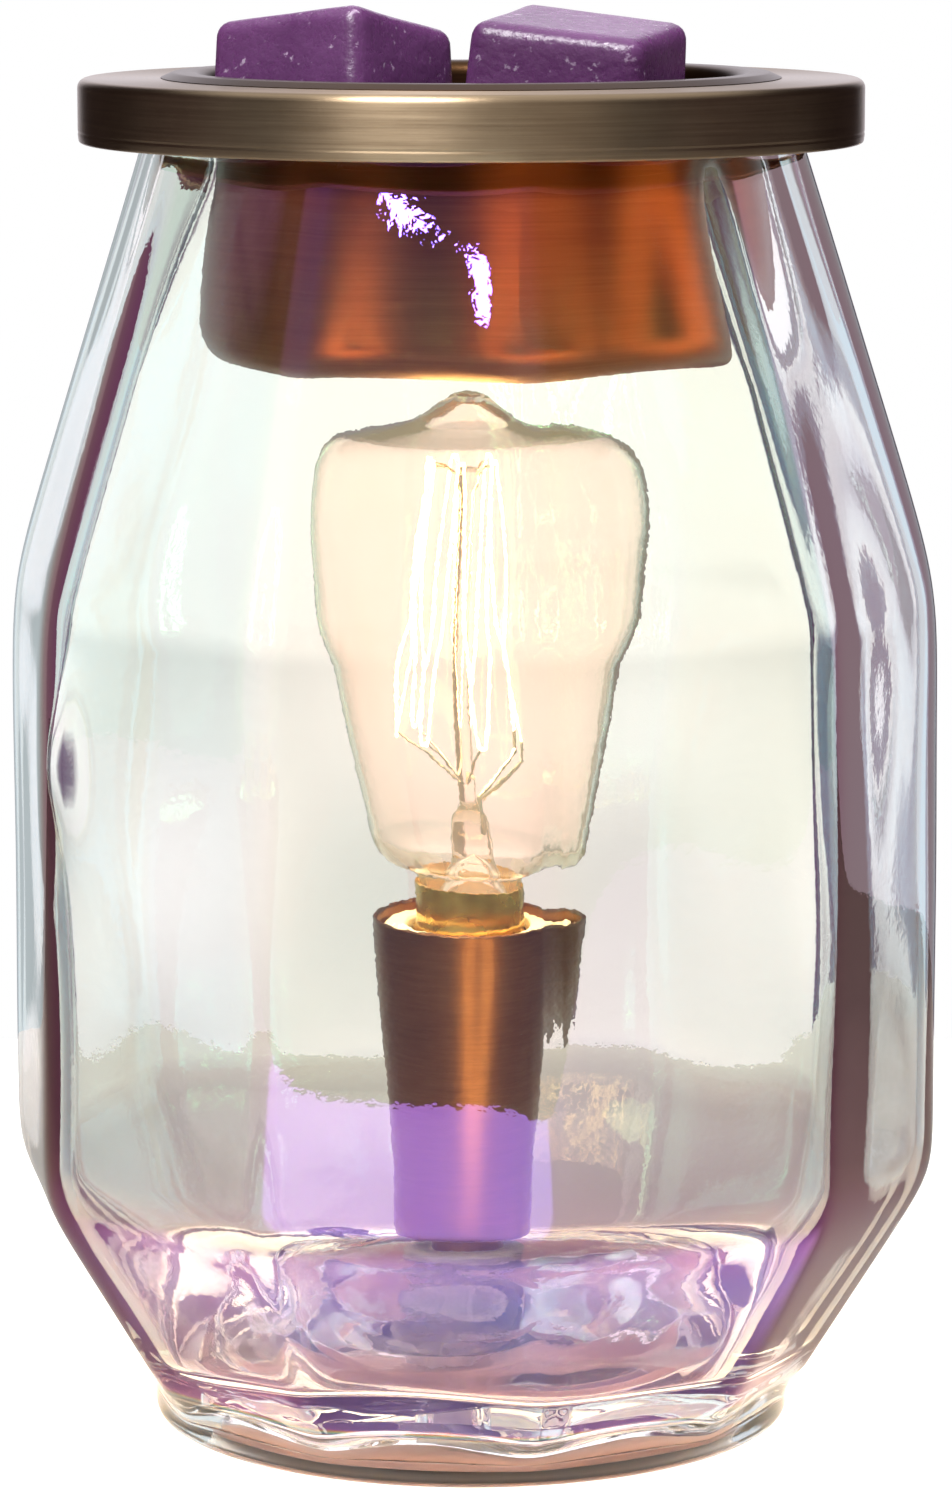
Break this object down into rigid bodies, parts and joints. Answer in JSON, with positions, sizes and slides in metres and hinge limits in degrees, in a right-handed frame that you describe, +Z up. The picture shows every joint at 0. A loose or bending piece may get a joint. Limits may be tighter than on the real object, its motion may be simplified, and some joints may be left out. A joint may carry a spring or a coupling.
{
  "type": "light bulb wax warmer",
  "caption": "Table-top wax warmer: faceted glass jar with a screw-in lamp bulb inside, lift-off lid ring and hanging metal dish that holds wax cubes over the bulb.",
  "frame": {"origin": "centre of the foot on the table", "axes": "+Z up, -Y to the front as pictured, +X to the viewer's right"},
  "size_m": [0.126, 0.1252, 0.1904],
  "materials": {
    "jar_glass": "clear, with a thin iridescent film",
    "bulb_glass": "clear, slightly warm",
    "bronze": "brushed bronze",
    "brass": "bright",
    "steel": "zinc plated",
    "clear_vinyl": "clear soft vinyl",
    "porcelain": "glazed",
    "insulator": "glassy black",
    "filament": "glowing wire",
    "wax": "satin wax"
  },
  "bodies": {
    "jar": {"glass_jar": "jar_glass", "base_cover": "bronze", "cord_grommet": "clear_vinyl", "threaded_nipple": "steel", "lower_gasket": "clear_vinyl", "steel_washer": "steel", "base_nut": "steel", "upper_gasket": "clear_vinyl", "sleeve_spacer": "bronze", "socket_sleeve": "bronze", "sleeve_nut": "steel", "lampholder_bracket": "brass", "lampholder_body": "porcelain", "lampholder_shell": "brass", "lampholder_contact": "brass", "terminal_screws": "brass"},
    "bulb_tip": {"bulb_cap_insulator": "insulator", "bulb_tip_contact": "brass"},
    "bulb": {"bulb_envelope": "bulb_glass", "bulb_stem": "bulb_glass", "bulb_filament": "filament", "bulb_anchor_wires": "steel", "bulb_lead_wires": "steel", "bulb_screw_shell": "brass"},
    "lid": {"lid_ring": "bronze"},
    "dish": {"wax_dish": "bronze", "wax_cubes_lower": "wax"},
    "wax_left": {"wax_cube_left": "wax"},
    "wax_right": {"wax_cube_right": "wax"}
  },
  "joints": [
    {"name": "lid_lift", "type": "slide", "parent": "jar", "child": "lid", "axis": [0, 0, 1], "range_m": [0, 0.05]},
    {"name": "dish_lift", "type": "slide", "parent": "lid", "child": "dish", "axis": [0, 0, 1], "range_m": [0, 0.05]},
    {"name": "wax_left_lift", "type": "slide", "parent": "dish", "child": "wax_left", "axis": [0, 0, 1], "range_m": [0, 0.03]},
    {"name": "wax_right_lift", "type": "slide", "parent": "dish", "child": "wax_right", "axis": [0, 0, 1], "range_m": [0, 0.03]},
    {"name": "bulb_rise", "type": "slide", "parent": "jar", "child": "bulb_tip", "axis": [0, 0, 1], "range_m": [0, 0.00285]},
    {"name": "bulb_turn", "type": "hinge", "parent": "bulb_tip", "child": "bulb", "pos_m": [0, 0, 0.06], "axis": [0, 0, 1], "range_deg": [0, 360]}
  ],
  "couplings": [
    {"joint": "bulb_rise", "follows": "bulb_turn", "m_per_rad": 0.00044882}
  ]
}
